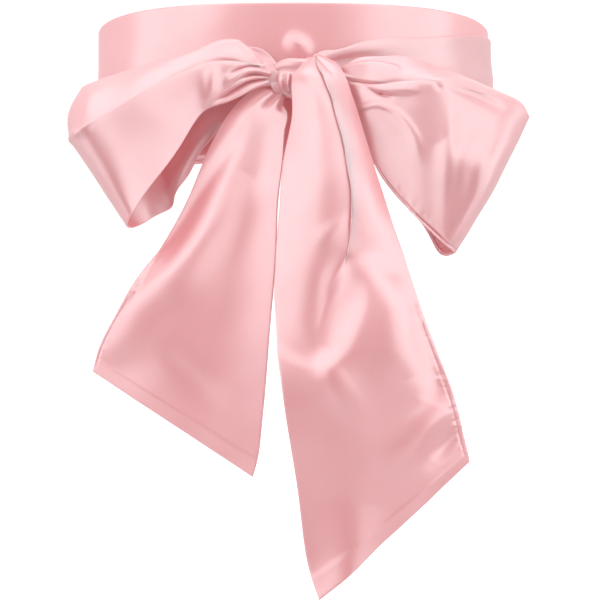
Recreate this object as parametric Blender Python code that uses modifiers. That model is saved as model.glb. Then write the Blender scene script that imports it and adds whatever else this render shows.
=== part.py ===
"""Satin waist sash, worn round an unseen waist and tied in front in one large bow.

One strip of doubled satin goes round the waist twice and ends in a knot with two loops
and two tails. Every stretch that shows is a wall of its own, lofted through sections.
Sizes are in millimetres until a mesh is made. X is across, -Y is the front, Z is up.
The origin is the middle of the waist at half the height of the band.
"""

import math
from collections import namedtuple

import bpy
import numpy as np

OBJECT_NAME = "satin_sash"
MM = 0.001

# Cloth
WALL = 1.3                 # two layers of satin with the air between them
SEAT = 0.35                # gap that touching pieces keep
WRAP_GAP = 0.5             # gap between the two turns, wide enough for their flat facets

# Waist, measured over the first turn
HALF_WIDTH = 129.5
HALF_DEPTH = 98.0
SQUARENESS = 2.5
BAND_TOP = 51.0
BAND_FOOT = -40.0
BACK_RISE = 22.0           # how much higher the band rides at the back
SIDE_DIP = 3.0             # how much its top edge drops at the sides

# Knot
KNOT_CENTRE = (6.0, -114.0, 2.0)
KNOT_HALF = (20.0, 10.5, 12.5)
KNOT_PLEATS = ((-12.5, 2.0, 0.07), (-6.0, 2.2, 0.10), (1.0, 2.4, 0.08), (9.0, 3.0, 0.06))

# Steps of each wall along the cloth, and across it between the points of a section
STEPS_ALONG = {
    "waist_band": 84,
    "outer_wrap": 76,
    "loop_left": 46,
    "loop_right": 46,
    "tail_left": 30,
    "tail_right": 40,
}
BAND_STEPS = 4
WRAP_STEPS = 6
LOOP_STEPS = (2, 2, 4, 4)
TAIL_STEPS = (3, 4, 3)
PLEATED_STEPS = (4, 3, 2, 2, 4)

SATIN = (0.78, 0.50, 0.51)
SATIN_ROUGHNESS = 0.38

# The outer turn: degrees from the front towards +X, top edge, foot, distance off the band
WrapRow = namedtuple("WrapRow", "angle top foot off")
OUTER_WRAP = (
    WrapRow(1, 8, -4, 8.5),
    WrapRow(3, 18, -12, 6.5),
    WrapRow(7, 22, -19, 4.5),
    WrapRow(12, 26, -25, 2.6),
    WrapRow(20, 30, -32, 1.0),
    WrapRow(30, 32, -38, WRAP_GAP),
    WrapRow(42, 35, -41, WRAP_GAP),
    WrapRow(60, 40, -43, WRAP_GAP),
    WrapRow(80, 43, -44, WRAP_GAP),
    WrapRow(110, 46, -42, WRAP_GAP),
    WrapRow(145, 57, -29, WRAP_GAP),
    WrapRow(180, 64, -21, WRAP_GAP),
    WrapRow(215, 54, -27, WRAP_GAP),
    WrapRow(250, 28, -39, WRAP_GAP),
    WrapRow(280, 12, -42, WRAP_GAP),
    WrapRow(310, 9, -41, WRAP_GAP),
    WrapRow(328, 12, -38, WRAP_GAP),
    WrapRow(340, 18, -31, 1.0),
    WrapRow(348, 25, -23, 2.6),
    WrapRow(353, 24, -18, 4.5),
    WrapRow(357, 18, -12, 6.5),
    WrapRow(359, 8, -4, 8.5),
)

# A loop's sections from the knot, along the front, round the turn and back to the knot.
# rise is how far the cloth swells outwards above the crease, swell how far below it.
LoopRow = namedtuple("LoopRow", "name upper crease lower rise swell")
LOOP_LEFT = (
    LoopRow("root", (-4, -116, 6), (-4, -119, 3), (-4, -117, -3), 0, 0),
    LoopRow("gather", (-24, -118, 19), (-23, -127, 9), (-23, -122, -5), 0, 1),
    LoopRow("neck", (-37, -119, 24), (-37, -132, 10), (-38, -126, -13), 1, 2),
    LoopRow("near", (-53, -120, 18), (-52, -136, 7), (-50, -131, -21), 1, 2),
    LoopRow("middle", (-71, -121, 13), (-69, -139, 0), (-63, -135, -38), 1, 2),
    LoopRow("wide", (-88, -121, 8), (-86, -141, -11), (-75, -138, -56), 2, 1),
    LoopRow("far", (-104, -121, 3), (-104, -141, -24), (-84, -139, -69), 3, 1),
    LoopRow("turn_in", (-116, -120, -1), (-117, -139, -33), (-91, -137, -81), 5, 0),
    LoopRow("turn", (-122, -116, -3), (-123, -131, -36), (-93, -131, -85), 5, 0),
    LoopRow("turn_out", (-120, -110, -3), (-121, -121, -34), (-92, -122, -84), 4, 0),
    LoopRow("far_back", (-106, -107, 2), (-107, -113, -27), (-85, -115, -79), 2, 0),
    LoopRow("wide_back", (-89, -104, 5), (-88, -107, -20), (-71, -111, -72), 1, 0),
    LoopRow("middle_back", (-71, -103, 9), (-71, -105, -10), (-62, -110, -55), 0, 0),
    LoopRow("near_back", (-53, -104, 13), (-53, -106, -2), (-54, -109, -40), 0, 0),
    LoopRow("neck_back", (-37, -105, 16), (-37, -107, 5), (-44, -110, -28), 0, 0),
    LoopRow("gather_back", (-24, -107, 14), (-24, -110, 6), (-29, -111, -12), 0, 0),
    LoopRow("root_back", (-4, -109, 7), (-4, -110, 5), (-4, -110, -2), 0, 0),
)
LOOP_RIGHT = (
    LoopRow("root", (20, -114, 3), (20, -116, 1), (20, -115, -3), 0, 0),
    LoopRow("emerging", (30, -115, 9), (30, -121, 2), (29, -119, -12), 0, 0),
    LoopRow("gather", (38, -116, 14), (39, -126, 1), (35, -124, -22), 0, 1),
    LoopRow("neck", (51, -116, 15), (50, -132, -2), (42, -128, -38), 1, 1),
    LoopRow("near", (66, -116, 15), (64, -135, -2), (49, -131, -54), 1, 1),
    LoopRow("middle", (81, -116, 10), (78, -137, -2), (60, -134, -69), 1, 1),
    LoopRow("wide", (97, -117, 4), (94, -138, -5), (72, -136, -82), 1, 0),
    LoopRow("far", (113, -118, -3), (110, -137, -9), (82, -137, -92), 1, 0),
    LoopRow("turn_in", (127, -118, -9), (125, -132, -14), (88, -136, -98), 1, 2),
    LoopRow("turn", (136, -114, -13), (137, -122, -18), (92, -128, -100), 0, 2),
    LoopRow("turn_out", (135, -107, -13), (136, -112, -18), (89, -119, -101), 0, 2),
    LoopRow("far_back", (119, -103, -9), (120, -105, -17), (84, -112, -97), 0, 1),
    LoopRow("wide_back", (100, -101, -3), (101, -103, -14), (78, -109, -85), 0, 0),
    LoopRow("middle_back", (82, -101, 3), (82, -102, -9), (66, -107, -69), 0, 0),
    LoopRow("near_back", (64, -103, 7), (64, -104, -4), (54, -108, -50), 0, 0),
    LoopRow("neck_back", (46, -106, 9), (46, -107, 1), (41, -110, -27), 0, 0),
    LoopRow("gather_back", (32, -109, 5), (32, -110, 0), (30, -110, -13), 0, 0),
    LoopRow("root_back", (18, -110, 3), (18, -111, 1), (18, -111, -3), 0, 0),
)

# The left tail's sections from the knot down; swell is forward, at a third and two thirds
TailRow = namedtuple("TailRow", "name left right near far")
TAIL_LEFT = (
    TailRow("root", (-5, -114, 2), (3, -114, -3), 0, 0),
    TailRow("under_knot", (-18, -115, -2), (-5, -115, -11), 1, 1),
    TailRow("below_knot", (-28, -116, -9), (-3, -116, -18), 2, 2),
    TailRow("neck", (-43, -117, -29), (-4, -117, -29), 5, 5),
    TailRow("chest", (-51, -119, -43), (-5, -119, -43), 7, 6),
    TailRow("spread", (-63, -124, -71), (-8, -122, -72), 9, 8),
    TailRow("parting", (-76, -129, -97), (-9, -126, -102), 9, 8),
    TailRow("strip", (-84, -132, -111), (-11, -129, -128), 8, 8),
    TailRow("middle", (-91, -135, -123), (-13, -131, -152), 6, 7),
    TailRow("lower", (-100, -137, -137), (-15, -132, -178), 4, 6),
    TailRow("hem", (-108, -136, -151), (-17, -132, -199), 2, 4),
    TailRow("allowance", (-111, -135, -159), (-19, -131, -215), 1, 3),
    TailRow("end", (-113, -134, -167), (-22, -130, -226), 1, 2),
)

# The right tail's sections, over the knot and down. Its pleat is a fold edge that lies on
# the left panel: tuck is how far that panel runs on under it, step how far behind.
PleatRow = namedtuple("PleatRow", "name left pleat right tuck step near far")
TAIL_RIGHT = (
    PleatRow("root", (9, -109, 6), (14, -109, 7), (20, -109, 5), -2, 0, 0, 0),
    PleatRow("crown", (9, -112, 15.5), (16, -112, 16.5), (25, -112, 12.5), -2, 0, 0, 0),
    PleatRow("over_knot", (6, -124, 11), (15, -126, 12), (30.5, -125, 3.5), -2, 1, 0, 1),
    PleatRow("front", (0, -131, 0), (18, -134, -1), (33, -131, -7), -1, 3, 1, 1),
    PleatRow("neck", (0, -134, -19), (24, -138, -20), (37, -133, -20), 1, 5, 3, 2),
    PleatRow("chest", (-4, -137, -42), (29, -142, -42), (43, -136, -41), 3, 7, 4, 2),
    PleatRow("spread", (-7, -141, -73), (33, -146, -72), (52, -140, -70), 3, 7, 4, 3),
    PleatRow("parting", (-9, -145, -99), (33, -150, -99), (61, -144, -98), 1, 5, 5, 3),
    PleatRow("fade", (-10, -148, -123), (34, -153, -124), (69, -147, -125), -4, 3, 5, 3),
    PleatRow("middle", (-8, -150, -147), (39, -156, -145), (76, -148, -143), -9, 1, 4, 2),
    PleatRow("lower", (-6, -150, -172), (45, -154, -166), (84, -148, -162), -9, 0, 2, 2),
    PleatRow("narrow", (-1, -148, -207), (51, -151, -194), (91, -145, -182), -9, 0, 1, 1),
    PleatRow("hem", (4, -144, -241), (57, -147, -216), (95, -142, -196), -9, 0, 1, 1),
    PleatRow("allowance", (9, -139, -276), (62, -143, -237), (98, -140, -208), -9, 0, 1, 1),
    PleatRow("end", (15, -136, -294), (66, -140, -249), (100, -138, -217.5), -9, 0, 0, 0),
)

LOOP_FRONT = 0.45          # share of a loop's length that is its front layer

# The largest folds: a ridge or, with a negative height, a trough on the cloth's front,
# from one point of the front view to another
FoldRow = namedtuple("FoldRow", "wall start end width height")
FOLDS = (
    FoldRow("loop_left", (-16, 8), (-42, 6), 4.0, 2.0),
    FoldRow("loop_left", (-16, 2), (-44, -7), 4.0, -2.5),
    FoldRow("loop_left", (-48, 2), (-98, -44), 16.0, -2.5),
    FoldRow("loop_right", (32, 6), (60, 7), 4.5, 2.5),
    FoldRow("loop_right", (36, -12), (70, -26), 6.0, 3.0),
    FoldRow("loop_right", (70, -28), (72, -52), 8.0, -3.0),
    FoldRow("loop_right", (86, -14), (88, -78), 12.0, 2.5),
    FoldRow("tail_left", (-36, -55), (-72, -110), 14.0, 3.5),
    FoldRow("tail_left", (-56, -62), (-98, -160), 16.0, -4.0),
    FoldRow("tail_left", (-20, -110), (-38, -200), 20.0, 3.0),
    FoldRow("tail_right", (14, -60), (12, -150), 14.0, 3.0),
    FoldRow("tail_right", (28, -90), (14, -150), 8.0, -4.0),
    FoldRow("tail_right", (4, -160), (34, -168), 12.0, 3.0),
    FoldRow("tail_right", (56, -120), (40, -160), 12.0, 3.0),
    FoldRow("tail_right", (70, -172), (92, -194), 14.0, 3.0),
    FoldRow("tail_right", (18, -215), (60, -225), 26.0, -3.0),
)


def fractions_of(points):
    """Where each point lies on the line through them all, from 0 to 1."""
    lengths = np.linalg.norm(np.diff(points, axis=0), axis=-1)
    if lengths.ndim > 1:
        lengths = lengths.mean(axis=1)
    return np.concatenate(([0.0], np.cumsum(lengths))) / lengths.sum()


def smooth_curve(points, places, wanted):
    """Natural cubic through the points at their places, read at the wanted places."""
    points = np.asarray(points, float)
    count = len(points)
    gaps = np.diff(places)
    slopes = np.diff(points, axis=0) / gaps[:, None]
    system = np.eye(count)
    right_side = np.zeros_like(points)
    for i in range(1, count - 1):
        system[i, i - 1:i + 2] = gaps[i - 1], 2 * (gaps[i - 1] + gaps[i]), gaps[i]
        right_side[i] = 6 * (slopes[i] - slopes[i - 1])
    bends = np.linalg.solve(system, right_side)
    result = []
    for place in wanted:
        i = min(max(int(np.searchsorted(places, place)) - 1, 0), count - 2)
        a = (places[i + 1] - place) / gaps[i]
        b = (place - places[i]) / gaps[i]
        bow = (a**3 - a) * bends[i] + (b**3 - b) * bends[i + 1]
        result.append(a * points[i] + b * points[i + 1] + bow * gaps[i]**2 / 6)
    return np.array(result)


def section_line(section, steps):
    """A smooth line through a section's points, with so many steps between each two."""
    places = fractions_of(np.asarray(section, float))
    wanted = [places[0]]
    for start, end, count in zip(places[:-1], places[1:], steps):
        wanted.extend(start + (end - start) * k / count for k in range(1, count + 1))
    return smooth_curve(section, places, wanted)


def loft(sections, along, steps):
    """A grid of points through the sections; fold edges stay on lines of the grid."""
    lines = np.array([section_line(section, steps) for section in sections])
    flat = lines.reshape(len(sections), -1)
    grid = smooth_curve(flat, fractions_of(lines), np.linspace(0.0, 1.0, along + 1))
    return grid.reshape(along + 1, -1, 3)


def loop_sections(rows, outward):
    """Five points a section; outward is 1 or -1, the side that the swell goes to."""
    sections = []
    for i, row in enumerate(rows):
        upper, crease, lower = (np.array(p, float) for p in row[1:4])
        before = np.array(rows[max(i - 1, 0)].crease, float)
        after = np.array(rows[min(i + 1, len(rows) - 1)].crease, float)
        normal = np.cross(lower - upper, after - before) * outward
        normal /= np.linalg.norm(normal)
        shoulder = (upper + crease) / 2 + normal * row.rise
        facet = (crease + lower) / 2 + normal * row.swell
        sections.append((upper, shoulder, crease, facet, lower))
    return sections


def tail_sections(rows):
    """Four points a section, the inner two swelling forward."""
    sections = []
    for row in rows:
        left, right = np.array(row.left, float), np.array(row.right, float)
        near = left + (right - left) / 3 - (0, row.near, 0)
        far = left + (right - left) * 2 / 3 - (0, row.far, 0)
        sections.append((left, near, far, right))
    return sections


def pleated_sections(rows):
    """Six points a section: a panel, its tuck under the pleat, and the pleat's own panel."""
    sections = []
    for row in rows:
        left, pleat, right = (np.array(p, float) for p in row[1:4])
        across = (right - left) / np.linalg.norm(right - left)
        panel = (left + pleat) / 2 - (0, row.near, 0)
        tucked = pleat + across * row.tuck + (0, row.step, 0)
        lap = (pleat + right) / 2 - (0, row.far, 0)
        sections.append((left, panel, tucked, pleat, lap, right))
    return sections


def add_folds(grid, wall, front_share):
    """Moves the front layer of a wall out or in along each of its folds."""
    last_front = int(front_share * (len(grid) - 1))
    for fold in (f for f in FOLDS if f.wall == wall):
        start, end = np.array(fold.start, float), np.array(fold.end, float)
        line = end - start
        for i in range(last_front + 1):
            for point in grid[i]:
                place = np.clip(np.dot(point[[0, 2]] - start, line) / np.dot(line, line), 0, 1)
                away = np.linalg.norm(point[[0, 2]] - start - line * place)
                fade = math.sin(math.pi * (0.12 + 0.76 * place))
                point[1] -= fold.height * fade * math.exp(-(away / fold.width)**2)
    return grid


def waist_point(angle, off):
    """A point round the waist, at an angle from the front and a distance off the band."""
    sine, cosine = math.sin(math.radians(angle)), math.cos(math.radians(angle))
    power = 2 / SQUARENESS
    x = (HALF_WIDTH + off) * math.copysign(abs(sine)**power, sine)
    y = -(HALF_DEPTH + off) * math.copysign(abs(cosine)**power, cosine)
    return x, y


def band_edges(angle):
    """The heights of the band's top edge and foot at an angle from the front."""
    rise = BACK_RISE * max(0.0, -math.cos(math.radians(angle)))**1.5
    dip = SIDE_DIP * abs(math.sin(math.radians(angle)))**6
    return BAND_TOP + rise - dip, BAND_FOOT + rise


def band_grid(along, across):
    """The first turn, a closed ring; its middle bellies out a little."""
    grid = []
    for i in range(along):
        angle = 360 * i / along
        top, foot = band_edges(angle)
        x, y = waist_point(angle, -WALL / 2)
        grid.append([(x, y, top + (foot - top) * j / across) for j in range(across + 1)])
    return np.array(grid)


def wrap_grid(along, across):
    """The second turn, from one side of the knot round the back to the other."""
    angles = np.array([row.angle for row in OUTER_WRAP], float)
    places = (angles - angles[0]) / (angles[-1] - angles[0])
    fractions = np.linspace(0.0, 1.0, along + 1)
    eased = fractions - np.sin(2 * math.pi * fractions) * 0.08
    edges = smooth_curve([row[1:] for row in OUTER_WRAP], places, eased)
    grid = []
    for fraction, (top, foot, off) in zip(eased, edges):
        angle = angles[0] + fraction * (angles[-1] - angles[0])
        x, y = waist_point(angle, max(off, WRAP_GAP) + WALL / 2)
        grid.append([(x, y, top + (foot - top) * j / across) for j in range(across + 1)])
    return np.array(grid)


def new_collection(name):
    collection = bpy.data.collections.new(name)
    bpy.context.scene.collection.children.link(collection)
    return collection


def satin_material(name):
    material = bpy.data.materials.new(name)
    material.use_nodes = True
    shader = material.node_tree.nodes["Principled BSDF"]
    shader.inputs["Base Color"].default_value = (*SATIN, 1.0)
    shader.inputs["Roughness"].default_value = SATIN_ROUGHNESS
    shader.inputs["Metallic"].default_value = 0.0
    return material


def cloth_wall(name, grid, collection, closed=False):
    """A wall of cloth on a grid of points: an open surface with Solidify."""
    rows, columns = grid.shape[:2]
    points = [tuple(p * MM) for p in grid.reshape(-1, 3)]
    faces = []
    for i in range(rows if closed else rows - 1):
        for j in range(columns - 1):
            here, there = i * columns + j, (i + 1) % rows * columns + j
            faces.append((here, here + 1, there + 1, there))
    mesh = bpy.data.meshes.new(name)
    mesh.from_pydata(points, [], faces)
    mesh.materials.append(satin_material(name + "_satin"))
    mesh.shade_smooth()
    wall = bpy.data.objects.new(name, mesh)
    collection.objects.link(wall)
    thickness = wall.modifiers.new("thickness", "SOLIDIFY")
    thickness.thickness = WALL * MM
    thickness.offset = 0.0
    return wall


def knot_mesh(name, grown):
    """A rounded lump with pleats round it, its poles at the two sides; grown is added all over."""
    bpy.ops.mesh.primitive_uv_sphere_add(segments=24, ring_count=18, radius=1.0)
    knot = bpy.context.object
    knot.name = name
    knot.data.name = name
    for vertex in knot.data.vertices:
        side, around_y, around_z = vertex.co.z, vertex.co.x, vertex.co.y
        x = side * (KNOT_HALF[0] + grown)
        pinch = 1.0
        for place, width, depth in KNOT_PLEATS:
            pinch -= depth * math.exp(-((x - place) / width)**2)
        y = around_y * (KNOT_HALF[1] * pinch + grown)
        z = around_z * (KNOT_HALF[2] * pinch + grown)
        vertex.co = ((KNOT_CENTRE[0] + x) * MM, (KNOT_CENTRE[1] + y) * MM, (KNOT_CENTRE[2] + z) * MM)
    return knot


def move_to(piece, collection):
    for holder in list(piece.users_collection):
        holder.objects.unlink(piece)
    collection.objects.link(piece)


def cut_with(piece, cutter):
    """Trims a wall where it would run into the knot, leaving the seat gap."""
    cut = piece.modifiers.new("seat_at_knot", "BOOLEAN")
    cut.operation = "DIFFERENCE"
    cut.solver = "EXACT"
    cut.object = cutter


def build():
    for item in list(bpy.data.objects):
        bpy.data.objects.remove(item)
    parts = new_collection(OBJECT_NAME)
    cutters = new_collection("cutters")

    knot = knot_mesh("knot", 0.0)
    knot.data.materials.append(satin_material("knot_satin"))
    knot.data.shade_smooth()
    move_to(knot, parts)
    seat = knot_mesh("knot_seat", SEAT)
    seat.display_type = "WIRE"
    seat.hide_render = True
    move_to(seat, cutters)

    cloth_wall("waist_band", band_grid(STEPS_ALONG["waist_band"], BAND_STEPS), parts, closed=True)

    lofted = (
        ("loop_left", loop_sections(LOOP_LEFT, -1), LOOP_STEPS, LOOP_FRONT),
        ("loop_right", loop_sections(LOOP_RIGHT, 1), LOOP_STEPS, LOOP_FRONT),
        ("tail_left", tail_sections(TAIL_LEFT), TAIL_STEPS, 1.0),
        ("tail_right", pleated_sections(TAIL_RIGHT), PLEATED_STEPS, 1.0),
    )
    cut_with(cloth_wall("outer_wrap", wrap_grid(STEPS_ALONG["outer_wrap"], WRAP_STEPS), parts), seat)
    for name, sections, steps, front_share in lofted:
        grid = loft(sections, STEPS_ALONG[name], steps)
        cut_with(cloth_wall(name, add_folds(grid, name, front_share), parts), seat)


build()
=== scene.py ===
"""The looks of the satin sash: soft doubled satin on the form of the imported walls.

Every stretch of the strip is lofted through the same sections as its solid, more finely,
then folded, gathered, seamed and given its two layers. Sizes are in millimetres until a
mesh is made. X is across, -Y is the front, Z is up.
"""

import math
from collections import namedtuple

import bmesh
import bpy
import numpy as np
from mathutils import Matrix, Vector


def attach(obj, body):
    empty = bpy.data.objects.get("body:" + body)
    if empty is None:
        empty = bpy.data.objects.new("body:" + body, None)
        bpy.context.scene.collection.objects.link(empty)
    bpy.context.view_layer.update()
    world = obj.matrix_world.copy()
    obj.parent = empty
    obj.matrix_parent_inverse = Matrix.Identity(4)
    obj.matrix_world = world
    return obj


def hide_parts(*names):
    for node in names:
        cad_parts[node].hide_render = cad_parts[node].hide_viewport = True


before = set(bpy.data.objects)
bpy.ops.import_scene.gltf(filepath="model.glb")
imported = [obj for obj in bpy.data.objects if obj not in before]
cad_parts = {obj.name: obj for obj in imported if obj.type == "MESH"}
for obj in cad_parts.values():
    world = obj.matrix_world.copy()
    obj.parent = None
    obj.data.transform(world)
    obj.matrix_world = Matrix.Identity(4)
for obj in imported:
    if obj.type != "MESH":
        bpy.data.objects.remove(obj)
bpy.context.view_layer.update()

MM = 0.001

# Cloth
CUT_LENGTHS = {            # length of the strip in each stretch
    "waist_band": 740.0,
    "outer_wrap": 700.0,
    "loop_left": 200.0,
    "loop_right": 220.0,
    "tail_left": 182.0,
    "tail_right": 280.0,
    "knot": 18.0,
}
CLOTH_HALF = 0.55          # half the thickness of the two layers with the air between them
NOSE = 0.7                 # reach of the rounding at a folded edge
NOSE_SHARES = (0.12, 0.4)  # where the columns that round it lie in the grid's outer cell
WALL = 1.3                 # thickness of the solids' walls
WAVES = 9                  # waves that add up to the cloth's unevenness
WAVE_LENGTH = 24.0
WAVE_SPREAD = (0.7, 1.6)   # shares of that length that a wave has
WAVE_TURN = 0.9            # how far a wave turns from straight across, in radians
WAVE_HEIGHT = 0.22
FOLD_STEPS = 24            # straight runs that a fold's path is measured by
LEAST_WIDTH = 0.3          # a fold is never narrower than this
STEEPNESS = {"lap": 0.22, "rim": 0.36}    # share of a fold's width that its steep side has
LAYER_BLEND = 0.06         # share of a loop over which its front's folds give way to its back's
TINY = 1e-9

# Points of each grid: along and across the two turns, and along every other wall
BAND_STEPS = (420, 60)
WRAP_STEPS = (480, 76)
STEPS_ALONG = 280
FINER = 4                  # points worked out round the waist for each one kept
CROWDING = 0.65            # how much closer together the points are at the knot
CROWDED_SHARE = 0.16       # share of the length over which they spread out again

# Points across, span by span between a section's own points: how many, and how they crowd,
# above 1 towards the span's start and below -1 towards its end
STEPS_ACROSS = {
    "loop_left": ((16, 1.4), (16, -1.3), (34, 1.4), (40, -1.5)),
    "loop_right": ((20, 1.4), (20, -1.3), (38, 1.4), (40, -1.6)),
    "tail_left": ((34, 1.4), (36, 1), (34, -1.3)),
    "tail_right": ((26, 1.3), (22, 1), (12, -1.4), (18, 1.5), (28, -1.5)),
}

# Waist, measured over the first turn
HALF_WIDTH = 129.5
HALF_DEPTH = 98.0
SQUARENESS = 2.5
BAND_TOP = 51.0
BAND_FOOT = -40.0
BACK_RISE = 22.0           # how far the band rises at the back
RISE_POWER = 1.5           # the higher, the more the rise keeps to the back
SIDE_DIP = 3.0             # how far its top edge dips at the sides
DIP_POWER = 6
WRAP_GAP = 0.5             # the second turn's distance off the first
WRAP_START = 4.0           # how far round from the front the second turn starts and ends

# Knot
KNOT_CENTRE = (6.0, -114.0, 2.0)
KNOT_HALF = (20.0, 10.5, 11.8)
KNOT_SQUARENESS = 0.8       # 1 is round, and below it the knot is flatter in front and on top
KNOT_STEPS = (150, 110)     # points round it and along it
KNOT_RIPPLES = (            # soft waves on its back: height, pace across, sway and start
    (0.35, 0.62, 1.5, 0.0),
    (0.15, 1.23, 0.0, 1.0),
)
KNOT_FADE = 2               # how soon its folds and its ripples fade round its sides
KNOT_OVERLAP = 0.6          # how far the ripples come forward
KNOT_CLOTH = (0.06, 0.075)  # metres of cloth that its weave runs over, along and round
MERGE_DISTANCE = 0.00001    # metres

# The outer turn: degrees from the front towards +X, top edge, foot, distance off the band
WrapRow = namedtuple("WrapRow", "angle top foot off", defaults=(WRAP_GAP,))
OUTER_WRAP = (
    WrapRow(1, 8, -4, 5.5),
    WrapRow(3, 18, -12, 3.6),
    WrapRow(7, 22, -19, 2.2),
    WrapRow(12, 26, -25, 1.5),
    WrapRow(20, 30, -32, 0.8),
    WrapRow(30, 32, -38),
    WrapRow(42, 35, -41),
    WrapRow(60, 40, -43),
    WrapRow(80, 43, -44),
    WrapRow(110, 46, -42),
    WrapRow(145, 57, -29),
    WrapRow(180, 64, -21),
    WrapRow(215, 54, -27),
    WrapRow(250, 28, -39),
    WrapRow(280, 12, -42),
    WrapRow(310, 9, -41),
    WrapRow(328, 12, -38),
    WrapRow(340, 18, -31, 0.8),
    WrapRow(348, 25, -23, 1.5),
    WrapRow(353, 24, -18, 2.2),
    WrapRow(357, 18, -12, 3.6),
    WrapRow(359, 8, -4, 5.5),
)

# A loop's sections from the knot, along the front, round the turn and back to the knot.
# rise is how far the cloth swells outwards above the crease, swell how far below it.
LoopRow = namedtuple("LoopRow", "name upper crease lower rise swell", defaults=(0, 0))
LOOP_LEFT = (
    LoopRow("root", (-4, -116, 6), (-4, -119, 3), (-4, -117, -3)),
    LoopRow("gather", (-24, -118, 19), (-23, -127, 9), (-23, -122, -5), 0, 1),
    LoopRow("neck", (-37, -119, 24), (-37, -129.5, 10), (-38, -126, -13), 1, 2),
    LoopRow("near", (-53, -120, 18), (-52, -130.8, 7.5), (-50, -128.8, -18.5), 1, 2),
    LoopRow("middle", (-71, -121, 13), (-69, -135.3, 0), (-63, -133, -38), 1, 2),
    LoopRow("wide", (-88, -121, 8), (-86, -141.5, -11), (-75, -138, -56), 2, 1),
    LoopRow("far", (-104, -121, 3), (-105, -147.5, -24), (-84, -142, -69), 2, 1),
    LoopRow("turn_in", (-116, -120, -1), (-119.5, -149.5, -33.5), (-91, -145, -81.5), 4, 0),
    LoopRow("turn", (-122, -116, -3), (-125, -138, -36), (-93, -136, -85), 4.5, 0),
    LoopRow("turn_out", (-120, -110, -3), (-122.5, -122, -34.5), (-91.5, -123, -85), 4, 0),
    LoopRow("far_back", (-106, -107, 2), (-107, -113, -27), (-85, -115, -81), 2, 0),
    LoopRow("before_corner", (-92, -104, 4.5), (-91, -108, -21), (-75.5, -112, -75.3), 1, 0),
    LoopRow("corner", (-89, -104, 5), (-88, -107, -20), (-70.4, -111, -72), 1, 0),
    LoopRow("past_corner", (-86, -104, 5.5), (-85, -106.7, -18), (-69.4, -111, -68)),
    LoopRow("middle_back", (-71, -103, 9), (-71, -105, -10), (-62, -110, -55)),
    LoopRow("near_back", (-53, -104, 13), (-53, -106, -2), (-54, -109, -40)),
    LoopRow("neck_back", (-37, -105, 16), (-37, -107, 5), (-44, -110, -28)),
    LoopRow("gather_back", (-24, -107, 14), (-24, -110, 6), (-29, -111, -12)),
    LoopRow("root_back", (-4, -109, 7), (-4, -110, 5), (-4, -110, -2)),
)
LOOP_RIGHT = (
    LoopRow("root", (20, -114, 3), (20, -116, 1), (20, -115, -3)),
    LoopRow("emerging", (30, -115, 9), (30, -121, 2), (29, -119, -12)),
    LoopRow("gather", (38, -116, 14), (39, -126, 1), (35, -124, -22), 0, 1),
    LoopRow("neck", (51, -116, 15), (50, -131, -2), (42, -128, -38), 1, 1),
    LoopRow("near", (66, -116, 15), (64, -134, -2), (49, -131, -54), 1, 1),
    LoopRow("middle", (81, -116, 10), (78, -136, -2), (60, -134, -69), 1, 2),
    LoopRow("wide", (97, -117, 4), (94, -134, -5), (72, -137, -82), 1, 4),
    LoopRow("far", (113, -118, -3), (110, -129.5, -9), (82, -139, -92), 1, 6),
    LoopRow("turn_in", (130, -116, -10), (131.5, -123.5, -16), (90.8, -136.5, -99), 1, 8.5),
    LoopRow("turn", (133.5, -113, -12), (136.5, -119, -20), (92, -129.5, -100), 0.5, 2.5),
    LoopRow("turn_out", (133, -107, -12), (136, -112, -20), (89, -119, -101), 0.5, 2.5),
    LoopRow("far_back", (119, -103, -9), (120, -105, -17), (84, -112, -97), 0, 1),
    LoopRow("wide_back", (100, -101, -3), (101, -103, -14), (78, -109, -85)),
    LoopRow("middle_back", (82, -101, 3), (82, -102, -9), (66, -107, -69)),
    LoopRow("near_back", (64, -103, 7), (64, -104, -4), (54, -108, -50)),
    LoopRow("neck_back", (46, -106, 9), (46, -107, 1), (41, -110, -27)),
    LoopRow("gather_back", (32, -109, 5), (32, -110, 0), (30, -110, -13)),
    LoopRow("root_back", (18, -110, 3), (18, -111, 1), (18, -111, -3)),
)
LOOP_CREASE = (2,)          # the point of a loop's sections where the cloth is folded sharply
LOOP_FRONT = 0.45           # share of a loop's length that lies in front

# The left tail's sections from the knot down; swell is forward, at a third and two thirds
TailRow = namedtuple("TailRow", "name left right near far")
TAIL_LEFT = (
    TailRow("root", (-5, -114, 2), (3, -114, -3), 0, 0),
    TailRow("under_knot", (-18, -116, -2), (-5, -118, -11), 1, 1),
    TailRow("below_knot", (-28, -118, -9), (-3, -122, -18), 2, 1),
    TailRow("neck", (-43, -120, -29), (-4, -127, -29), 4, 1),
    TailRow("chest", (-50, -122, -43), (-5, -131, -43), 4, 0),
    TailRow("spread", (-62, -126, -71), (-8, -136, -72), 4, -0.5),
    TailRow("parting", (-76, -130, -97), (-9, -140, -102), 4, -1),
    TailRow("strip", (-84, -133, -111), (-11, -143, -128), 4, -1),
    TailRow("middle", (-91, -135, -123), (-13, -144, -152), 3, -1),
    TailRow("lower", (-100, -137, -137), (-15, -144, -178), 2, -1),
    TailRow("hem", (-108, -136, -151), (-17, -143, -199), 1, -0.5),
    TailRow("allowance", (-111, -135, -159), (-19, -142, -215), 1, 0),
    TailRow("end", (-113, -134, -167), (-22, -141, -226), 1, 0),
)

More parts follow.
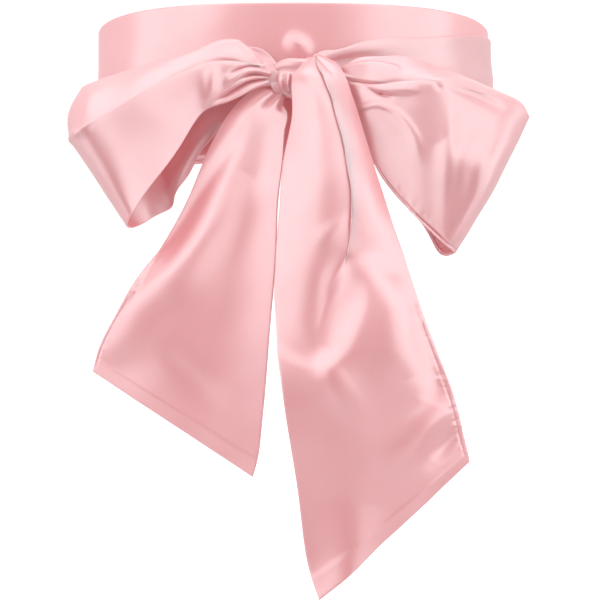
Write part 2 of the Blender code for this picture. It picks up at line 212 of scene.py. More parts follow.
# The right tail's sections, over the knot and down. Its pleat is a fold edge that lies on
# the left panel: tuck is how far that panel runs on under it, step how far behind.
PleatRow = namedtuple("PleatRow", "name left pleat right tuck step near far")
TAIL_RIGHT = (
    PleatRow("root", (9, -109, 6), (14, -109, 7), (20, -109, 5), -2, 0, 0, 0),
    PleatRow("crown", (9, -112, 14), (15, -112, 15.5), (22, -112, 12.5), -2, 0, 0, 0),
    PleatRow("over_knot", (5, -124, 8.5), (14, -125, 11), (29, -125, 4.5), 0, 2, 0, 1),
    PleatRow("front", (0, -130, 0), (18, -136, -1), (33, -131, -7), 3, 3.5, 2, 1),
    PleatRow("neck", (0, -133, -19), (24, -143, -20), (37, -134, -20), 5, 3.5, 2, 2),
    PleatRow("chest", (-4, -136, -42), (29, -147, -42), (43, -137, -41), 6, 3.5, 2.5, 2),
    PleatRow("spread", (-7, -140, -73), (33, -152, -72), (52, -140, -70), 4.5, 3.6, 2.8, 3),
    PleatRow("slipping", (-8, -141.5, -86), (32.6, -152.6, -86), (56.5, -142, -84), 2.6, 2.8, 2.8, 2),
    PleatRow("parting", (-9, -143.5, -99), (31.2, -152.4, -99), (61, -144.5, -98), 0.4, 1.4, 2.8, 0.6),
    PleatRow("melting", (-9.5, -144.8, -110), (29, -152.6, -110), (64.5, -145.8, -110), -2, 0.5,
             2.6, 1.6),
    PleatRow("fade", (-10, -146.3, -123), (25.2, -152.4, -124), (69, -147, -125), -5, 0.1, 2.2, 3),
    PleatRow("middle", (-8, -148.5, -147), (19, -153.6, -146), (76, -148, -143), -4.5, 0, 1.6, 3.6),
    PleatRow("lower", (-6, -151, -172), (30, -154, -168), (84, -148, -162), -9, 0, 0.5, 2),
    PleatRow("narrow", (-1, -149.5, -207), (44, -151, -196), (91, -145, -182), -9, 0, 0.5, 1),
    PleatRow("hem", (4, -144, -241), (54, -147, -217), (95, -142, -196), -9, 0, 1, 1),
    PleatRow("allowance", (9, -140.5, -276), (62, -143, -237), (98, -140, -208), -9, 0, 1, 1),
    PleatRow("end", (15, -139.5, -294), (66, -141, -249), (100, -138, -217.5), -9, 0, 0, 0),
)
PANEL_SHARE = 0.66         # how far across the left panel its swell lies
PLEAT_CORNERS = (2, 3)     # the points of a section where the pleat is folded sharply
LEAST_STEP = 1             # a pleat whose panel lies less far behind has no sharp fold

# Folds, listed one by one. Each runs through stations on the map of its wall: across, up, the
# fold's width and how far it stands out there, or in where that is negative. The map is the
# front view, and for the two turns the distance round from the front. soft is rounded on
# both sides and crease has a sharp crest. lap and rim are steep on the right of their own
# direction, and pouch is a broad swelling that is higher on that side. Each group is on one
# wall, and on its front, its back or both.
Fold = namedtuple("Fold", "kind stations")
FOLDS = {}
FOLDS["loop_left", "front"] = (
    # The pleats at the knot
    Fold("soft", ((-70, 11, 3, 0.4), (-56, 16, 3, 1.2), (-42, 21, 3, 1.6), (-31, 22, 2, 0.8))),
    Fold("lap", ((-17, 8, 1.6, 1), (-23, 14, 2, 1.8), (-28, 19.5, 2, 1.2), (-32, 23, 1.4, 0.2))),
    Fold("crease", (
        (-86, -12, 0.8, 0), (-69, -0.6, 0.8, -0.4), (-52, 8.2, 0.8, -0.9), (-40, 10.6, 0.8, -1.4),
        (-28, 10, 0.8, -1.7), (-17, 9.4, 0.8, -1.4))),
    Fold("crease", (
        (-37, 2, 0.6, -0.3), (-31, 5.4, 0.6, -1.8), (-26, 7, 0.6, -2.2), (-19, 7.2, 0.6, -1.6))),
    Fold("soft", (
        (-38, -3, 1.6, 0.3), (-33, 0, 1.6, 1.4), (-26, 4.4, 1.5, 2), (-20, 5.2, 1.2, 1.8),
        (-14, 4, 1, 1))),
    Fold("crease", (
        (-30, 0, 0.5, -0.2), (-25, 2.4, 0.5, -1.6), (-18, 2.8, 0.5, -1.6), (-14, 2.2, 0.5, -0.8))),
    Fold("soft", (
        (-40, -8, 1.6, 0.3), (-31, -2.6, 1.5, 1.2), (-23, 0.8, 1.2, 1.4), (-15, 1.6, 0.9, 0.8))),
    Fold("crease", (
        (-43, -12.5, 0.7, -0.4), (-37, -9.4, 0.7, -2.2), (-30, -4.6, 0.7, -3), (-24, -1.2, 0.7, -2.8),
        (-15, 0.6, 0.6, -1.6))),
    Fold("soft", (
        (-44, -16, 1.8, 0.4), (-34, -10.6, 1.8, 1.6), (-24, -4.2, 1.6, 1.6), (-15, -0.8, 1, 0.8))),
    # The broad shapes
    Fold("soft", (
        (-44, 8, 3, 0.2), (-46, 1, 4, 1.3), (-46.5, -7, 4, 1.4), (-49, -14, 4, 0.7), (-51, -18, 4, 0))),
    Fold("soft", ((-64, -16, 9, 0), (-82, -34, 14, 0.6), (-94, -58, 16, 0.6), (-98, -72, 12, 0.1))),
)
FOLDS["loop_left", "both"] = (
    Fold("crease", (
        (-84, -11, 1.2, 0), (-104, -24, 1.4, 0.6), (-118, -33, 1.4, 0.9), (-126, -37, 1.4, 0.8))),
)
FOLDS["loop_left", "back"] = (
    Fold("soft", ((-40, -18, 4, 0), (-52, -30, 5, -2), (-62, -48, 6, -2.4), (-72, -66, 6, -0.6))),
    Fold("soft", ((-44, -26, 3, 0.4), (-56, -44, 4, 1.6), (-66, -62, 5, 1.4), (-78, -76, 5, 0))),
    Fold("soft", ((-20, 6, 2, 1), (-44, 6, 5, 1.8), (-70, 0, 8, 1.2), (-96, -8, 9, 0))),
    Fold("soft", ((-20, 2, 2, -0.8), (-44, -6, 5, -1.8), (-70, -20, 8, -1.6), (-92, -36, 9, 0))),
)
FOLDS["loop_right", "front"] = (
    # The puffs at the knot
    Fold("pouch", ((57, 3.4, 4.4, 1.4), (49, 4.2, 5.2, 2.2), (40, 5.6, 4.6, 1.8), (29, 7.2, 2, 0.6))),
    Fold("crease", (
        (30, 0.4, 0.7, -0.8), (40, -1.8, 0.7, -1.8), (47, -3, 0.7, -1.8), (60, -1.9, 0.8, -1.6),
        (78, -1.9, 0.9, -1), (96, -3.6, 1.2, 0))),
    Fold("pouch", (
        (40, -3.6, 1.6, 0.4), (50, -5.2, 3, 1.4), (60, -5.8, 3.8, 1.5), (67, -5.8, 3.8, 0.9),
        (72, -6, 3.2, 0.1))),
    Fold("crease", (
        (39, -3.4, 0.7, -0.6), (45, -6.4, 0.8, -1.8), (52, -9.6, 0.9, -1.8), (58, -11.5, 1.1, -0.3))),
    Fold("lap", (
        (35, -17.8, 2, 0.6), (41, -17.2, 2.4, 1.3), (47, -16.2, 2.6, 1.4), (53, -17.4, 2.8, 0.8),
        (58, -20, 3, 0))),
    Fold("soft", (
        (50, -16.5, 1.8, 0.2), (57, -19, 2.2, 1), (64, -25.5, 2.6, 1.4), (69, -34, 3, 1.3),
        (72, -46, 4, 0.3))),
    # The broad shapes
    Fold("crease", ((80.5, -3, 0.7, -0.2), (82.5, -5.5, 0.8, -0.7), (85, -8.5, 0.9, 0))),
    Fold("soft", ((40, -24, 6, 0), (50, -40, 9, -1.4), (60, -60, 9, -1), (70, -78, 8, 0))),
    Fold("soft", ((88, -12, 4, 0), (88, -34, 5, 1.2), (87, -62, 6, 1.5), (86, -88, 6, 0.5))),
    Fold("soft", ((88, -6, 2, -0.4), (101, -9.5, 2.6, -1.2), (114, -14.5, 3, -1.2), (124, -20, 3, 0))),
    Fold("soft", ((86, -36, 9, 0), (97, -49, 12, 2.4), (109, -54, 12, 2.6), (120, -57, 9, 0.6))),
    Fold("crease", (
        (52, -58, 0.5, -0.2), (59, -67, 0.6, -0.8), (69, -77.5, 0.6, -1), (77, -84.5, 0.6, -1),
        (88, -95.5, 0.6, -0.8))),
)
FOLDS["loop_right", "back"] = (
    Fold("soft", ((24, 2, 2, 1), (50, 0, 5, 1.8), (80, -10, 8, 1.4), (108, -22, 8, 0))),
    Fold("soft", ((24, -2, 2, -0.8), (48, -14, 5, -1.8), (70, -34, 8, -2), (90, -62, 9, 0))),
    Fold("soft", ((28, -10, 3, 0.6), (46, -28, 5, 1.6), (62, -52, 7, 1.6), (80, -80, 8, 0))),
)
FOLDS["tail_left", "both"] = (
    Fold("crease", ((-8, -8, 0.8, -0.6), (-13, -12, 1, -1.6), (-18, -17, 1.2, 0))),
    Fold("soft", ((-12, -7, 1.2, 0.6), (-19, -13, 1.8, 0.7), (-26, -20, 2.6, 0))),
    Fold("soft", ((-6, -9, 1.2, 0.6), (-10, -14, 1.8, 0.6), (-13, -20, 3, 0))),
    Fold("crease", ((-4, -11, 0.8, -0.6), (-6, -15, 1, -1.2), (-7, -19, 1.4, 0))),
    Fold("soft", (
        (-24, -20, 4, 0), (-33, -36, 6, -1.6), (-50, -60, 7, -2.4), (-66, -88, 7, -2.6),
        (-81, -108, 7, -1.8), (-90, -122, 6, 0))),
    Fold("soft", (
        (-24, -56, 9, 0), (-44, -84, 12, 2.2), (-64, -106, 13, 3.4), (-86, -130, 13, 3.8),
        (-100, -152, 11, 2), (-106, -162, 9, 0))),
    Fold("crease", ((-77, -99, 0.9, 0), (-84, -112, 1, 2.2), (-91, -124, 1, 2.4), (-99, -135, 0.9, 0.4))),
    Fold("soft", ((-74, -150, 5, 0), (-58, -170, 6, -0.7), (-36, -186, 6, 0))),
)
FOLDS["tail_right", "both"] = (
    # The pleat and the crease at the root
    Fold("soft", ((31, -79, 4, 0), (26, -85, 4.4, 0.8), (18, -92, 5, 0.8), (10, -98, 5, 0))),
    Fold("crease", ((14, 14, 0.6, -0.6), (17, 11, 0.9, -1.6), (20, 7.5, 1, -2.2), (22.5, 3, 1, -0.6))),
    # The hollow whose rounded rim catches the light
    Fold("soft", (
        (30, -99, 4.5, 0), (26.8, -107.5, 5, -0.8), (23.8, -115.5, 6, -1.1), (18.8, -133, 7, -1.1),
        (15, -149, 8, -0.2))),
    Fold("rim", (
        (46, -84, 28, 0), (46, -95, 28, 0.4), (46.5, -107, 28, 1.8), (45, -119, 28, 3.4),
        (42, -134, 28, 4.3), (37, -148, 28, 4.8), (28.5, -161, 28, 5.2), (17, -168.5, 28, 5.4),
        (5, -167.5, 28, 5.2), (-5, -162, 28, 4.8), (-14, -154, 28, 4))),
    Fold("soft", ((53, -112, 8, 0), (56, -131, 10, 2.2), (59, -150, 11, 2.6), (61, -170, 11, 0.8))),
    # Below the hollow
    Fold("soft", ((64, -120, 8, 0), (74, -150, 9, -1.6), (80, -170, 8, -2.8), (76, -184, 7, -0.4))),
    Fold("soft", ((90, -184, 5, -0.2), (82, -190, 6, 1.8), (68, -204, 8, 2.2), (54, -222, 10, 0))),
    Fold("soft", ((96, -200, 5, -1), (88, -206, 5, -2.2), (78, -216, 6, -0.8))),
    Fold("soft", ((10, -190, 12, 0), (30, -220, 16, 1.6), (28, -250, 12, 0.8))),
    Fold("soft", ((38, -240, 13, 0), (35, -258, 13, 2.4), (32, -276, 13, 4), (30, -300, 13, 4.4))),
    Fold("soft", ((24, -302, 20, 5.5), (40, -294, 20, 5), (62, -276, 18, 1.5))),
)
FOLDS["waist_band", "both"] = (
    Fold("soft", ((-5, 29.5, 4.4, 0), (0, 27, 5.2, 1.6), (6, 23.5, 5.2, 1.6), (11.5, 20, 4.4, 0))),
    Fold("soft", ((-170, 8, 10, 0), (-120, 22, 12, 1), (-60, 36, 12, 0.8), (-30, 44, 10, 0))),
    Fold("soft", ((60, 30, 12, 0), (120, 12, 12, 1), (170, 0, 12, 0))),
    Fold("soft", ((200, 10, 12, 0), (270, 24, 12, 1.4), (330, 20, 14, 0))),
    Fold("soft", ((-330, 30, 12, 0), (-260, 10, 12, 1.4), (-200, 0, 14, 0))),
)
FOLDS["outer_wrap", "both"] = (
    Fold("soft", ((14, 12, 2, 0.8), (34, 20, 3, 1.6), (70, 26, 6, 1.2), (120, 30, 10, 0))),
    Fold("soft", ((14, 4, 2, 1), (40, 6, 4, 2.2), (90, 6, 8, 2.4), (160, 14, 10, 1.6), (230, 28, 12, 0))),
    Fold("soft", (
        (14, -4, 2, 0.8), (44, -14, 5, 2), (100, -22, 8, 2), (180, -20, 10, 1.8), (260, -4, 12, 0))),
    Fold("soft", ((150, -8, 8, 0), (210, 2, 8, -1.2), (290, 26, 10, 0))),
    Fold("soft", (
        (-14, 12, 2, 0.8), (-34, 16, 3, 1.4), (-70, 6, 5, 1.8), (-130, 2, 6, 2.4), (-220, 22, 8, 2),
        (-320, 44, 10, 0))),
    Fold("soft", (
        (-14, 4, 2, 1), (-36, 2, 4, 2), (-80, -8, 5, 2.6), (-140, -12, 6, 3), (-220, 2, 8, 2.4),
        (-330, 26, 10, 0.4))),
    Fold("soft", (
        (-14, -5, 2, 0.8), (-40, -16, 4, 1.8), (-84, -24, 5, 2.4), (-140, -28, 6, 2.6),
        (-220, -18, 8, 2.2), (-320, 2, 10, 0))),
    Fold("crease", ((-60, 2, 2, 0), (-120, -5, 2, -1), (-200, 8, 3, -1), (-280, 30, 4, 0))),
)
FOLDS["knot", "both"] = (
    Fold("soft", (
        (10, 11, 1.6, 0.8), (0, 11.4, 1.8, 1.6), (-8, 10.8, 1.8, 1.3), (-12.5, 7, 1.5, 1.2),
        (-12.5, 1, 1.3, 1.4), (-9, -6, 1.1, 1.2), (-5, -11, 1, 0.8))),
    Fold("soft", (
        (8, 6.6, 1.4, -0.8), (-2, 7, 1.5, -2.2), (-8.5, 6.6, 1.3, -1.8), (-9.6, 0, 0.9, -1.2),
        (-7, -6, 0.8, -0.8))),
    Fold("soft", ((-7, 2, 1.5, 0.9), (-6, -3, 1.6, 1.8), (-5, -6, 1.2, 0.6))),
    Fold("soft", ((-2.4, 3, 1.4, 0.9), (-2, -2, 1.5, 1.9), (-2, -6, 1.2, 0.6))),
    Fold("soft", ((1.6, 3, 1.3, 0.8), (1.4, -2, 1.3, 1.6), (1, -6, 1, 0.6))),
    Fold("crease", ((-4.8, 2, 0.5, -0.6), (-4.2, -3, 0.5, -1.2), (-3.8, -7, 0.5, -0.6))),
    Fold("crease", ((-0.4, 2, 0.5, -0.6), (-0.4, -3, 0.5, -1.2), (-0.6, -7, 0.5, -0.6))),
    Fold("soft", ((0, -6, 1.8, -0.8), (-1, -9, 2, -2.6), (0, -12, 2, -2.2))),
)

# Seams that show: the long edge of the strip they run along, from one share of its length
# to another, how far in the stitching lies, and how far in and how high its puckers reach
Seam = namedtuple("Seam", "wall edge start end inset reach height")
SEAMS = (
    Seam("tail_right", "last", 0.56, 0.97, 3.0, 3.6, 0.50),
    Seam("tail_left", "first", 0.62, 0.97, 1.6, 3.0, 0.18),
    Seam("loop_right", "last", 0.20, 0.95, 1.8, 4.0, 0.30),
    Seam("waist_band", "last", 0.0, 1.0, 2.2, 5.0, 0.35),
    Seam("outer_wrap", "last", 0.05, 0.95, 2.2, 5.0, 0.40),
)
SEAM_GROOVE = 0.60         # depth of the line of stitching
GROOVE_WIDTH = 0.45
SEAM_FADE = 12.0           # length over which a seam's marks begin and end
PUCKER_SPACING = 2.6       # usual distance between puckers
PUCKER_GAPS = (0.5, 1.6)   # shares of it that lie between two
PUCKER_WIDTHS = (0.7, 1.3)
PUCKER_REACHES = (0.4, 1.3)    # shares of the seam's reach
PUCKER_HEIGHTS = (0.3, 1.2)    # shares of the seam's height
PUCKER_SIGNS = (1, 1, -1)      # two in three stand out
PUCKER_LEAN = 0.5

# The turned-in end of a tail: its depth, what its layers add, and how wide that step is; the
# line that wanders along the step, its height and width
ALLOWANCE = 8.6
ALLOWANCE_RISE = 0.3
ALLOWANCE_STEP = 1.2
ALLOWANCE_WANDER = 0.5
WANDER_LENGTH = 9
WANDER_PACE = 0.6          # millimetres that a column of the grid counts for in it
WANDER_SEED = 5
CREST_HEIGHT = 0.12
CREST_WIDTH = 0.9

# Satin: what its shader's sockets hold, the two tones of its dye, and its weave
SATIN_LOOK = {
    "Roughness": 0.36,
    "Subsurface Weight": 0.5,
    "Subsurface Radius": (1.0, 0.6, 0.6),
    "Subsurface Scale": 0.004,
    "IOR": 2.18,
    "Specular IOR Level": 0.95,
    "Specular Tint": (0.94, 0.98, 1.0, 1.0),
    "Sheen Weight": 0.15,
    "Sheen Roughness": 0.4,
    "Sheen Tint": (1.0, 0.62, 0.64, 1.0),
    "Anisotropic": 0.35,
}
SATIN_TONES = ((0.3, (0.735, 0.310, 0.325, 1)), (0.7, (0.775, 0.337, 0.352, 1)))
TONE_SCALE = 14.0
WEAVE_SCALE = (3200.0, 260.0, 1.0)
WEAVE_STRENGTH = 0.12
WEAVE_DEPTH = 0.00008      # metres

# How bright the surround is, from straight in front (0) round to straight behind (1)
WORLD_TONES = (
    (0.0, 0.20),
    (0.12, 0.25),
    (0.38, 0.80),
    (0.5, 1.05),
    (0.62, 1.15),
    (0.8, 1.0),
    (1.0, 0.35),
)
WORLD_WARMTH = 0.985       # its green and blue for each unit of red

# Studio lights: place, width and height in metres, and how bright their faces are
SOFTBOXES = (
    ("light_left", (-1.19, -1.07, 0.08), (1.8, 1.6), 1.52),
    ("light_right", (1.19, -1.07, 0.08), (1.8, 1.6), 1.52),
    ("light_top", (0.0, -1.30, 1.12), (2.2, 1.0), 1.55),
    ("light_overhead", (0.0, -0.2, 1.6), (1.8, 1.2), 1.1),
    ("light_back", (0.0, 1.5, 0.9), (1.6, 0.9), 1.0),
    ("light_low", (0.0, -1.20, -1.10), (1.7, 0.6), 0.8),
)
LIGHT_TARGET = (0, 0, -0.08)

# Floor, in metres: a level disc whose edge curves up into the distance
FLOOR_HEIGHT = -0.36
FLOOR_RADIUS = 4.0
FLOOR_LEVEL = 0.6          # share of the radius that is level
FLOOR_RISE = 2.5
FLOOR_RINGS = (6, 12)      # on the level part and on the curve
FLOOR_SIDES = 64
FLOOR_ROUGHNESS = 0.9
FLOOR_GRAIN = 3.0
FLOOR_SHADES = ((0.90, 0.90, 0.90, 1), (0.93, 0.93, 0.93, 1))
FLOOR_GLOW = 0.66

# Camera, fitted to the photo's frame
CAMERA_PLACE = (0.0044, -0.833, -0.1265)
CAMERA_LENS = 74.0
FRAME_SIDE = 36.0


def fractions_of(points):
    """Where each point lies on the line through them all, from 0 to 1."""
    lengths = np.linalg.norm(np.diff(points, axis=0), axis=-1)
    if lengths.ndim > 1:
        lengths = lengths.mean(axis=1)
    return np.concatenate(([0.0], np.cumsum(lengths))) / lengths.sum()


def smooth_curve(points, places, wanted):
    """Natural cubic through the points at their places, read at the wanted places."""
    points = np.asarray(points, float)
    count = len(points)
    gaps = np.diff(places)
    slopes = np.diff(points, axis=0) / gaps[:, None]
    system = np.eye(count)
    right_side = np.zeros_like(points)
    for i in range(1, count - 1):
        system[i, i - 1:i + 2] = gaps[i - 1], 2 * (gaps[i - 1] + gaps[i]), gaps[i]
        right_side[i] = 6 * (slopes[i] - slopes[i - 1])
    bends = np.linalg.solve(system, right_side)
    wanted = np.asarray(wanted, float)
    i = np.clip(np.searchsorted(places, wanted) - 1, 0, count - 2)
    a = ((places[i + 1] - wanted) / gaps[i])[:, None]
    b = ((wanted - places[i]) / gaps[i])[:, None]
    bow = ((a**3 - a) * bends[i] + (b**3 - b) * bends[i + 1]) * gaps[i][:, None]**2 / 6
    return a * points[i] + b * points[i + 1] + bow


def span_shares(count, lean):
    """Shares of a span, closer together at its start, or at its end where lean is below 0."""
    even = np.arange(1, count + 1) / count
    return even**lean if lean > 0 else 1 - (1 - even)**-lean


def section_line(section, steps, corners):
    """A line through a section's points, smooth but for its corners, with steps between them."""
    section = np.asarray(section, float)
    ends = [0, *corners, len(section) - 1]
    line = [section[:1]]
    for first, last in zip(ends[:-1], ends[1:]):
        points = section[first:last + 1]
        places = fractions_of(points)
        wanted = []
        for start, end, span in zip(places[:-1], places[1:], steps[first:last]):
            wanted.extend(start + (end - start) * span_shares(*span))
        line.append(smooth_curve(points, places, wanted))
    return np.concatenate(line)


def loft(sections, corners, fractions, steps):
    """A grid of points through the sections; fold edges stay on lines of the grid."""
    lines = np.array([section_line(section, steps, at) for section, at in zip(sections, corners)])
    flat = lines.reshape(len(sections), -1)
    return smooth_curve(flat, fractions_of(lines), fractions).reshape(len(fractions), -1, 3)


def loop_sections(rows, outward):
    """Five points a section; outward is 1 or -1, the side that the swell goes to."""
    sections = []
    for i, row in enumerate(rows):
        upper, crease, lower = (np.array(p, float) for p in row[1:4])
        before = np.array(rows[max(i - 1, 0)].crease, float)
        after = np.array(rows[min(i + 1, len(rows) - 1)].crease, float)
        normal = np.cross(lower - upper, after - before) * outward
        normal /= np.linalg.norm(normal)
        shoulder = (upper + crease) / 2 + normal * row.rise
        facet = (crease + lower) / 2 + normal * row.swell
        sections.append((upper, shoulder, crease, facet, lower))
    return sections


def tail_sections(rows):
    """Four points a section, the inner two swelling forward."""
    sections = []
    for row in rows:
        left, right = np.array(row.left, float), np.array(row.right, float)
        near = left + (right - left) / 3 - (0, row.near, 0)
        far = left + (right - left) * 2 / 3 - (0, row.far, 0)
        sections.append((left, near, far, right))
    return sections


def pleated_sections(rows):
    """Six points a section: a panel, its tuck under the pleat, and the pleat's own panel."""
    sections = []
    for row in rows:
        left, pleat, right = (np.array(p, float) for p in row[1:4])
        across = (right - left) / np.linalg.norm(right - left)
        panel = left + (pleat - left) * PANEL_SHARE - (0, row.near, 0)
        tucked = pleat + across * row.tuck + (0, row.step, 0)
        lap = (pleat + right) / 2 - (0, row.far, 0)
        sections.append((left, panel, tucked, pleat, lap, right))
    return sections


def waist_point(angle, off):
    """A point round the waist, at an angle from the front and a distance off the band."""
    sine, cosine = math.sin(math.radians(angle)), math.cos(math.radians(angle))
    power = 2 / SQUARENESS
    x = (HALF_WIDTH + off) * math.copysign(abs(sine)**power, sine)
    y = -(HALF_DEPTH + off) * math.copysign(abs(cosine)**power, cosine)
    return x, y


def band_edges(angle):
    """The heights of the band's top edge and foot at an angle from the front."""
    rise = BACK_RISE * max(0.0, -math.cos(math.radians(angle)))**RISE_POWER
    dip = SIDE_DIP * abs(math.sin(math.radians(angle)))**DIP_POWER
    return BAND_TOP + rise - dip, BAND_FOOT + rise


def evened(line, count, closed=False):
    """The same line with its points an equal distance apart."""
    if closed:
        line = np.concatenate((line, line[:1]))
    wanted = np.linspace(0.0, 1.0, count + 1)
    places = fractions_of(line)
    even = np.stack([np.interp(wanted, places, line[:, k]) for k in range(line.shape[1])], -1)
    return even[:-1] if closed else even


def hung_between(line, across):
    """A grid whose columns run down from the top to the foot of each place on a line."""
    down = np.linspace(0.0, 1.0, across + 1)
    heights = line[:, 2:3] + (line[:, 3:4] - line[:, 2:3]) * down
    flat = np.repeat(line[:, None, :2], across + 1, axis=1)
    return np.concatenate((flat, heights[..., None]), axis=2)


def band_grid(along, across):
    """The first turn, a closed ring."""
    fine = along * FINER
    line = []
    for i in range(fine):
        angle = 360 * i / fine
        line.append((*waist_point(angle, -WALL / 2), *band_edges(angle)))
    return hung_between(evened(np.array(line), along, closed=True), across)


def wrap_grid(along, across):
    """The second turn, from one side of the knot round the back to the other."""
    angles = np.array([row.angle for row in OUTER_WRAP], float)
    places = (angles - angles[0]) / (angles[-1] - angles[0])
    fractions = np.linspace(0.0, 1.0, along * FINER + 1)
    edges = smooth_curve([row[1:] for row in OUTER_WRAP], places, fractions)
    line = []
    for fraction, (top, foot, off) in zip(fractions, edges):
        angle = angles[0] + fraction * (angles[-1] - angles[0])
        line.append((*waist_point(angle, max(off, WRAP_GAP) + WALL / 2), top, foot))
    return hung_between(evened(np.array(line), along), across)


def grid_normals(grid, facing, closed=False):
    """The normal of each point of a grid; facing turns them to the cloth's outer side."""
    if closed:
        along = np.roll(grid, -1, axis=0) - np.roll(grid, 1, axis=0)
    else:
        along = np.gradient(grid, axis=0)
    across = np.gradient(grid, axis=1)
    normals = np.cross(across, along) * facing
    return normals / np.maximum(np.linalg.norm(normals, axis=2, keepdims=True), TINY)


def soft_step(value):
    """0 below 0 and 1 above 1, with a smooth rise between them."""
    value = np.clip(value, 0.0, 1.0)
    return value * value * (3 - 2 * value)


def fold_height(places, fold):
    """How far a fold moves each place of the map out."""
    stations = np.array(fold.stations, float)
    wanted = np.linspace(0, 1, FOLD_STEPS + 1)
    line = smooth_curve(stations, fractions_of(stations[:, :2]), wanted)
    nearest = np.full(len(places), np.inf)
    signed, width, height = (np.zeros(len(places)) for _ in range(3))
    for start, end in zip(line[:-1], line[1:]):
        along = (end - start)[:2]
        share = np.clip((places - start[:2]) @ along / (along @ along), 0.0, 1.0)
        off = places - start[:2] - share[:, None] * along
        distance = np.hypot(*off.T)
        nearer = distance < nearest
        nearest[nearer] = distance[nearer]
        side = (along[0] * off[:, 1] - along[1] * off[:, 0]) / np.hypot(*along)
        signed[nearer] = side[nearer]
        width[nearer] = (start[2] + share * (end - start)[2])[nearer]
        height[nearer] = (start[3] + share * (end - start)[3])[nearer]
    width = np.maximum(width, LEAST_WIDTH)
    if fold.kind == "crease":
        return height * np.exp(1 - np.hypot(1, nearest / width))
    if fold.kind == "pouch":
        return height * np.exp(-(nearest / width)**4) * (1 - signed / width)
    if fold.kind in STEEPNESS:
        width = np.where(signed < 0, width * STEEPNESS[fold.kind], width)
    return height * np.exp(-(nearest / width)**2)


def layer_share(rows, layer, front_share):
    """How much of a fold each row of the wall takes, by the layer that the fold is on."""
    if front_share is None or layer == "both":
        return np.ones(rows)
    back = soft_step((np.linspace(0, 1, rows) - front_share + LAYER_BLEND / 2) / LAYER_BLEND)
    return back if layer == "back" else 1 - back


def reach_across(grid):
    """Distance of each point from the first edge, along its row."""
    steps = np.linalg.norm(np.diff(grid, axis=1, prepend=grid[:, :1]), axis=2)
    return np.cumsum(steps, axis=1)


def cloth_places(grid):
    """Distances in the cloth: across from its first edge, to its other edge, and along it."""
    across = reach_across(grid)
    steps = np.linalg.norm(np.diff(grid, axis=0, prepend=grid[:1]), axis=2)
    along = np.cumsum(steps.mean(axis=1))
    return across, across[:, -1:] - across, np.broadcast_to(along[:, None], across.shape)


def low_waves(across, along, length, seed):
    """Uneven low waves of about the given length, longer along the cloth than across it."""
    draw = np.random.default_rng(seed)
    total = np.zeros(across.shape)
    for _ in range(WAVES):
        turn = draw.uniform(-WAVE_TURN, WAVE_TURN)
        size = length * draw.uniform(*WAVE_SPREAD)
        start = draw.uniform(0, 2 * math.pi)
        place = across * math.cos(turn) + along * math.sin(turn)
        total += np.sin(2 * math.pi * place / size + start)
    return total / WAVES


def seam_lift(grid, seam, seed):
    """The groove of a line of stitching, and the puckers that it draws in the cloth."""
    from_first, from_last, along = cloth_places(grid)
    away = from_first if seam.edge == "first" else from_last
    length = along[-1, 0]
    start, end = seam.start * length, seam.end * length
    inside = soft_step((along - start) / SEAM_FADE + 0.5)
    inside = inside * soft_step((end - along) / SEAM_FADE + 0.5)
    lift = -SEAM_GROOVE * np.exp(-((away - seam.inset) / GROOVE_WIDTH)**2)
    draw = np.random.default_rng(seed)
    place = start
    while place < end:
        width = draw.uniform(*PUCKER_WIDTHS)
        reach = seam.reach * draw.uniform(*PUCKER_REACHES)
        lean = draw.uniform(-PUCKER_LEAN, PUCKER_LEAN)
        height = seam.height * draw.uniform(*PUCKER_HEIGHTS) * draw.choice(PUCKER_SIGNS)
        nearness = np.exp(-((along - place - lean * (away - seam.inset)) / width)**2)
        lift += height * nearness * np.exp(-((away - seam.inset) / reach)**2)
        place += PUCKER_SPACING * draw.uniform(*PUCKER_GAPS)
    return lift * inside


def allowance_lift(grid):
    """The band at a tail's cut end, where the edges are turned in."""
    *_, along = cloth_places(grid)
    to_end = along[-1:] - along
    columns = np.cumsum(np.ones(grid.shape[1]))[None, :] * WANDER_PACE
    wander = low_waves(along * 0, columns, WANDER_LENGTH, WANDER_SEED)
    edge = ALLOWANCE + ALLOWANCE_WANDER * wander
    crest = CREST_HEIGHT * np.exp(-((to_end - edge) / CREST_WIDTH)**2)
    return ALLOWANCE_RISE * soft_step((edge - to_end) / ALLOWANCE_STEP + 0.5) + crest


def finished(wall, grid, facing, front_share=None, places=None, closed=False):
    """A wall's grid with its folds, seams and low waves."""
    places = grid[..., [0, 2]] if places is None else places
    rows = len(grid)
    lift = np.zeros(grid.shape[:2])
    for (owner, layer), folds in FOLDS.items():
        if owner == wall:
            share = layer_share(rows, layer, front_share)[:, None]
            for fold in folds:
                lift += share * fold_height(places.reshape(-1, 2), fold).reshape(rows, -1)
    for number, seam in enumerate(SEAMS):
        if seam.wall == wall:
            lift += seam_lift(grid, seam, number)
    if wall.startswith("tail"):
        lift += allowance_lift(grid)
    across, _, along = cloth_places(grid)
    if not closed:
        lift += WAVE_HEIGHT * low_waves(across, along, WAVE_LENGTH, len(wall))
    return grid + grid_normals(grid, facing, closed) * lift[..., None]


def placed(name, data):
    """A new object in the scene."""
    made = bpy.data.objects.new(name, data)
    bpy.context.scene.collection.objects.link(made)
    return made


def with_nose(grid, closed=False):
    """Adds columns and rows close to the edges, where the folded cloth rounds over."""

    def extended(g):
        first = [g[:, :1] + (g[:, 1:2] - g[:, :1]) * s for s in NOSE_SHARES]
        last = [g[:, -1:] + (g[:, -2:-1] - g[:, -1:]) * s for s in reversed(NOSE_SHARES)]
        return np.concatenate([g[:, :1], *first, g[:, 1:-1], *last, g[:, -1:]], axis=1)

    grid = extended(grid)
    if not closed:
        grid = extended(grid.transpose(1, 0, 2)).transpose(1, 0, 2)
    return grid


